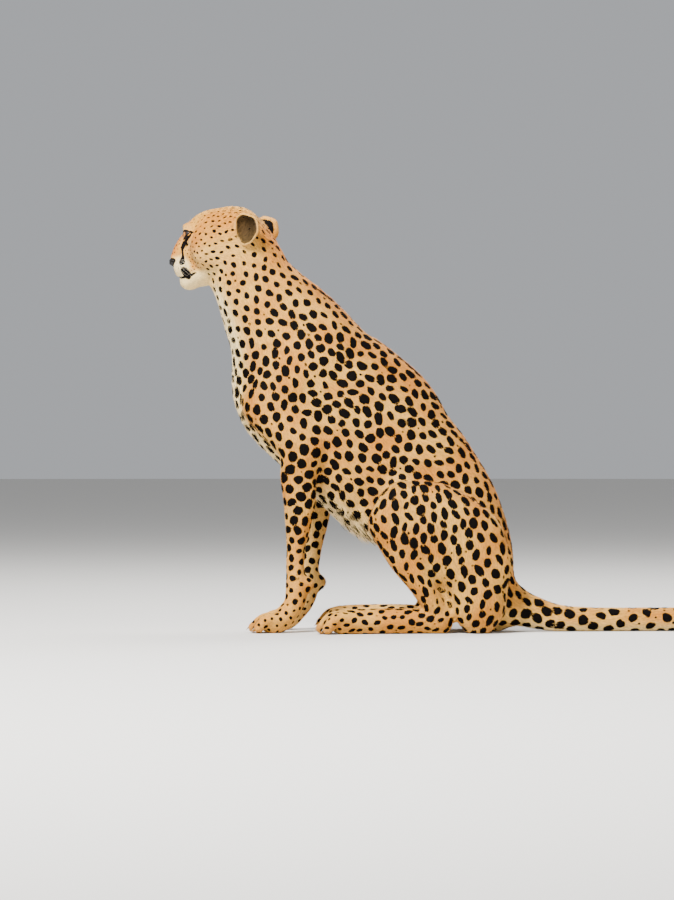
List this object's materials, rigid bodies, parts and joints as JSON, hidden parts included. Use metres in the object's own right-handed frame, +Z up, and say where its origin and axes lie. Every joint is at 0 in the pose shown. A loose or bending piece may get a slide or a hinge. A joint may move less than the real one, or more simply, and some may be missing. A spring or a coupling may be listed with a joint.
{
  "type": "sitting cheetah model",
  "caption": "Life-size still model of a cheetah sitting upright on its haunches, forelegs straight, tail laid out behind on the floor.",
  "frame": {"origin": "centre of the model's own box seen from above, on the floor", "axes": "+Z up; -X is the way the body faces; the animal's left side is at -Y; the tail runs to +X"},
  "size_m": [1.3552, 0.2902, 0.8714],
  "materials": {
    "coat": "short dense fur, tawny with round black spots, pale below",
    "eye": "wet gloss, amber iris with a round pupil",
    "nose_leather": "bare dark skin, finely grained",
    "claw": "horn, semi-gloss, pale"
  },
  "bodies": {
    "root": {"head": "coat", "ear_left": "coat", "ear_right": "coat", "eye_left": "eye", "eye_right": "eye", "nose": "nose_leather", "neck": "coat", "torso": "coat", "foreleg_left": "coat", "foreleg_right": "coat", "forepaw_left": "coat", "forepaw_right": "coat", "hind_leg_left": "coat", "hind_leg_right": "coat", "hind_foot_left": "coat", "hind_foot_right": "coat", "tail_root": "coat", "tail_middle": "coat", "tail_tip": "coat"}
  },
  "joints": []
}
